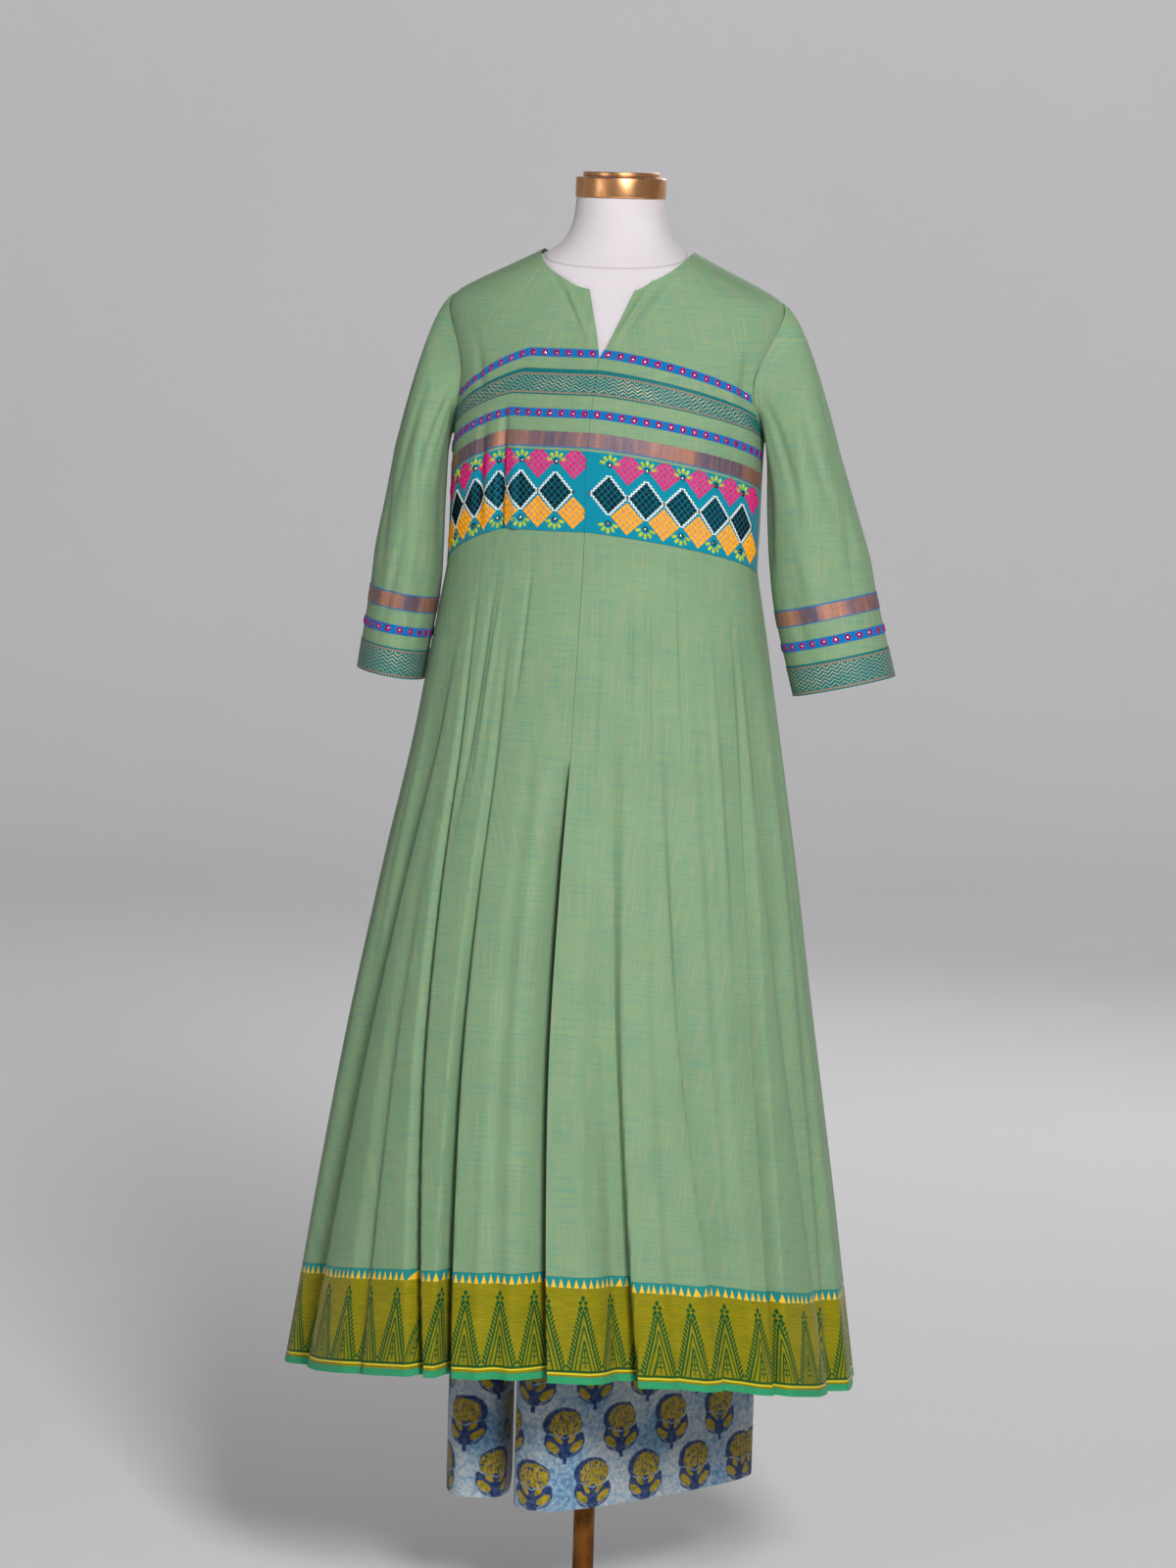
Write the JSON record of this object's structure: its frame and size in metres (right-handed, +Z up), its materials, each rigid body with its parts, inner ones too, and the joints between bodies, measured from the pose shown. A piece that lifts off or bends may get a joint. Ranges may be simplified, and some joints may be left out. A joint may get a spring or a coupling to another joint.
{
  "type": "kurti with pants on a dress form",
  "caption": "Flared green kurti with embroidered bands, mirror ribbons and a printed hem border, over wide block-printed pants, on a limbless dress form with a pole stand.",
  "frame": {"origin": "centre of the stand base's bottom face, on the floor", "axes": "+Z up along the pole, -Y out of the garment's front, +X to the wearer's left"},
  "size_m": [0.6737, 0.6018, 1.646],
  "materials": {
    "form_cover": "smooth, off-white, matte",
    "neck_brass": "brushed",
    "stand_metal": "brown-gold lacquer, satin",
    "green_silk": "plain-weave silk and cotton with teal slubs, soft sheen",
    "teal_band": "plain weave under dense thread embroidery",
    "copper_zari": "woven with copper metal thread",
    "blue_ribbon": "ribbon with thread rings round small mirrors",
    "green_zari": "woven with gold zigzags",
    "printed_border": "block-printed cotton",
    "hem_binding": "plain cotton binding",
    "printed_cotton": "mottled indigo block print"
  },
  "bodies": {
    "root": {"form_torso": "form_cover", "form_neck_ring": "neck_brass", "form_neck_lid": "neck_brass", "stand_pole": "stand_metal", "stand_base": "stand_metal", "bodice_front_left": "green_silk", "bodice_front_right": "green_silk", "bodice_back": "green_silk", "embroidered_band_left": "teal_band", "embroidered_band_right": "teal_band", "copper_band_left": "copper_zari", "copper_band_right": "copper_zari", "mirror_ribbon_low_left": "blue_ribbon", "mirror_ribbon_low_right": "blue_ribbon", "zigzag_band_left": "green_zari", "zigzag_band_right": "green_zari", "mirror_ribbon_high_left": "blue_ribbon", "mirror_ribbon_high_right": "blue_ribbon", "sleeve_left": "green_silk", "sleeve_right": "green_silk", "sleeve_copper_left": "copper_zari", "sleeve_copper_right": "copper_zari", "sleeve_ribbon_left": "blue_ribbon", "sleeve_ribbon_right": "blue_ribbon", "sleeve_border_left": "green_zari", "sleeve_border_right": "green_zari", "skirt_front_left": "green_silk", "skirt_front_right": "green_silk", "skirt_back": "green_silk", "hem_border_front_left": "printed_border", "hem_border_front_right": "printed_border", "hem_border_back": "printed_border", "hem_binding_front_left": "hem_binding", "hem_binding_front_right": "hem_binding", "hem_binding_back": "hem_binding", "pants_front_left": "printed_cotton", "pants_front_right": "printed_cotton", "pants_back_left": "printed_cotton", "pants_back_right": "printed_cotton", "pants_waistband": "printed_cotton"}
  },
  "joints": []
}
